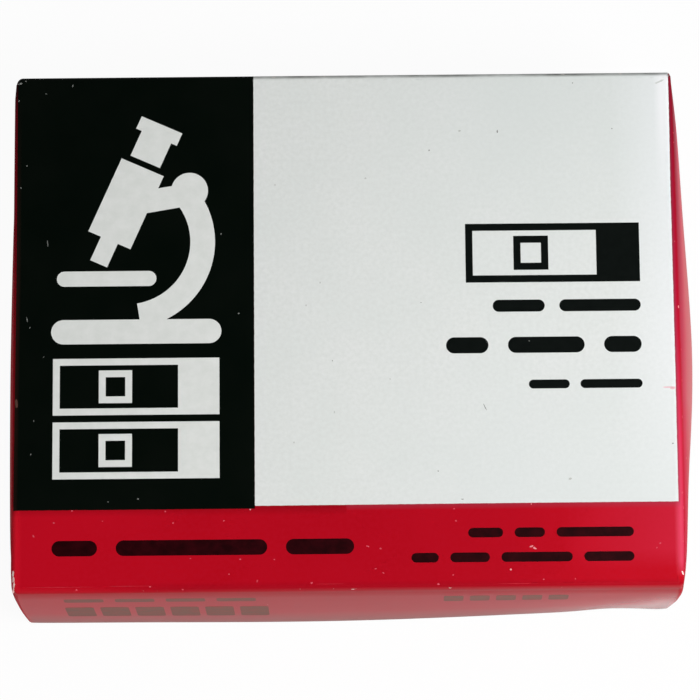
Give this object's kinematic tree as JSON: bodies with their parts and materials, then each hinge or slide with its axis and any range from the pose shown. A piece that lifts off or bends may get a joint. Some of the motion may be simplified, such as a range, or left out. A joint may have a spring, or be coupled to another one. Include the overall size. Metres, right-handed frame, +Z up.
{
  "type": "boxed microscope slides",
  "caption": "Closed card box of glass microscope slides: an open tray holds the slides on edge, under a printed lift-off lid with bulging walls.",
  "frame": {"origin": "centre of the tray's underside, where the box stands on the table", "axes": "+X along the slides to the right, -Y to the front where the red band is, +Z up out of the lid"},
  "size_m": [0.0887, 0.0665, 0.0273],
  "materials": {
    "tray_card": "matt white card",
    "lid_card": "red print under a thin varnish",
    "slide_glass": "clear, with ground edges",
    "print_white": "varnished white print",
    "print_black": "varnished black print",
    "print_dark_red": "black over-print on red"
  },
  "bodies": {
    "tray": {"tray": "tray_card", "slide_01": "slide_glass", "slide_02": "slide_glass", "slide_03": "slide_glass", "slide_04": "slide_glass", "slide_05": "slide_glass", "slide_06": "slide_glass", "slide_07": "slide_glass", "slide_08": "slide_glass", "slide_09": "slide_glass", "slide_10": "slide_glass", "slide_11": "slide_glass", "slide_12": "slide_glass", "slide_13": "slide_glass", "slide_14": "slide_glass", "slide_15": "slide_glass", "slide_16": "slide_glass", "slide_17": "slide_glass", "slide_18": "slide_glass", "slide_19": "slide_glass", "slide_20": "slide_glass", "slide_21": "slide_glass", "slide_22": "slide_glass", "slide_23": "slide_glass", "slide_24": "slide_glass", "slide_25": "slide_glass", "slide_26": "slide_glass", "slide_27": "slide_glass", "slide_28": "slide_glass", "slide_29": "slide_glass", "slide_30": "slide_glass", "slide_31": "slide_glass", "slide_32": "slide_glass", "slide_33": "slide_glass", "slide_34": "slide_glass", "slide_35": "slide_glass", "slide_36": "slide_glass", "slide_37": "slide_glass", "slide_38": "slide_glass", "slide_39": "slide_glass", "slide_40": "slide_glass", "slide_41": "slide_glass", "slide_42": "slide_glass", "slide_43": "slide_glass", "slide_44": "slide_glass", "slide_45": "slide_glass", "slide_46": "slide_glass", "slide_47": "slide_glass", "slide_48": "slide_glass", "slide_49": "slide_glass", "slide_50": "slide_glass"},
    "lid": {"lid": "lid_card", "print_white": "print_white", "print_black": "print_black", "print_symbols": "print_white", "print_marks": "print_black", "print_band_marks": "print_dark_red"}
  },
  "joints": [
    {"name": "lid_lift", "type": "slide", "parent": "tray", "child": "lid", "axis": [0, 0, 1], "range_m": [0, 0.035]}
  ]
}
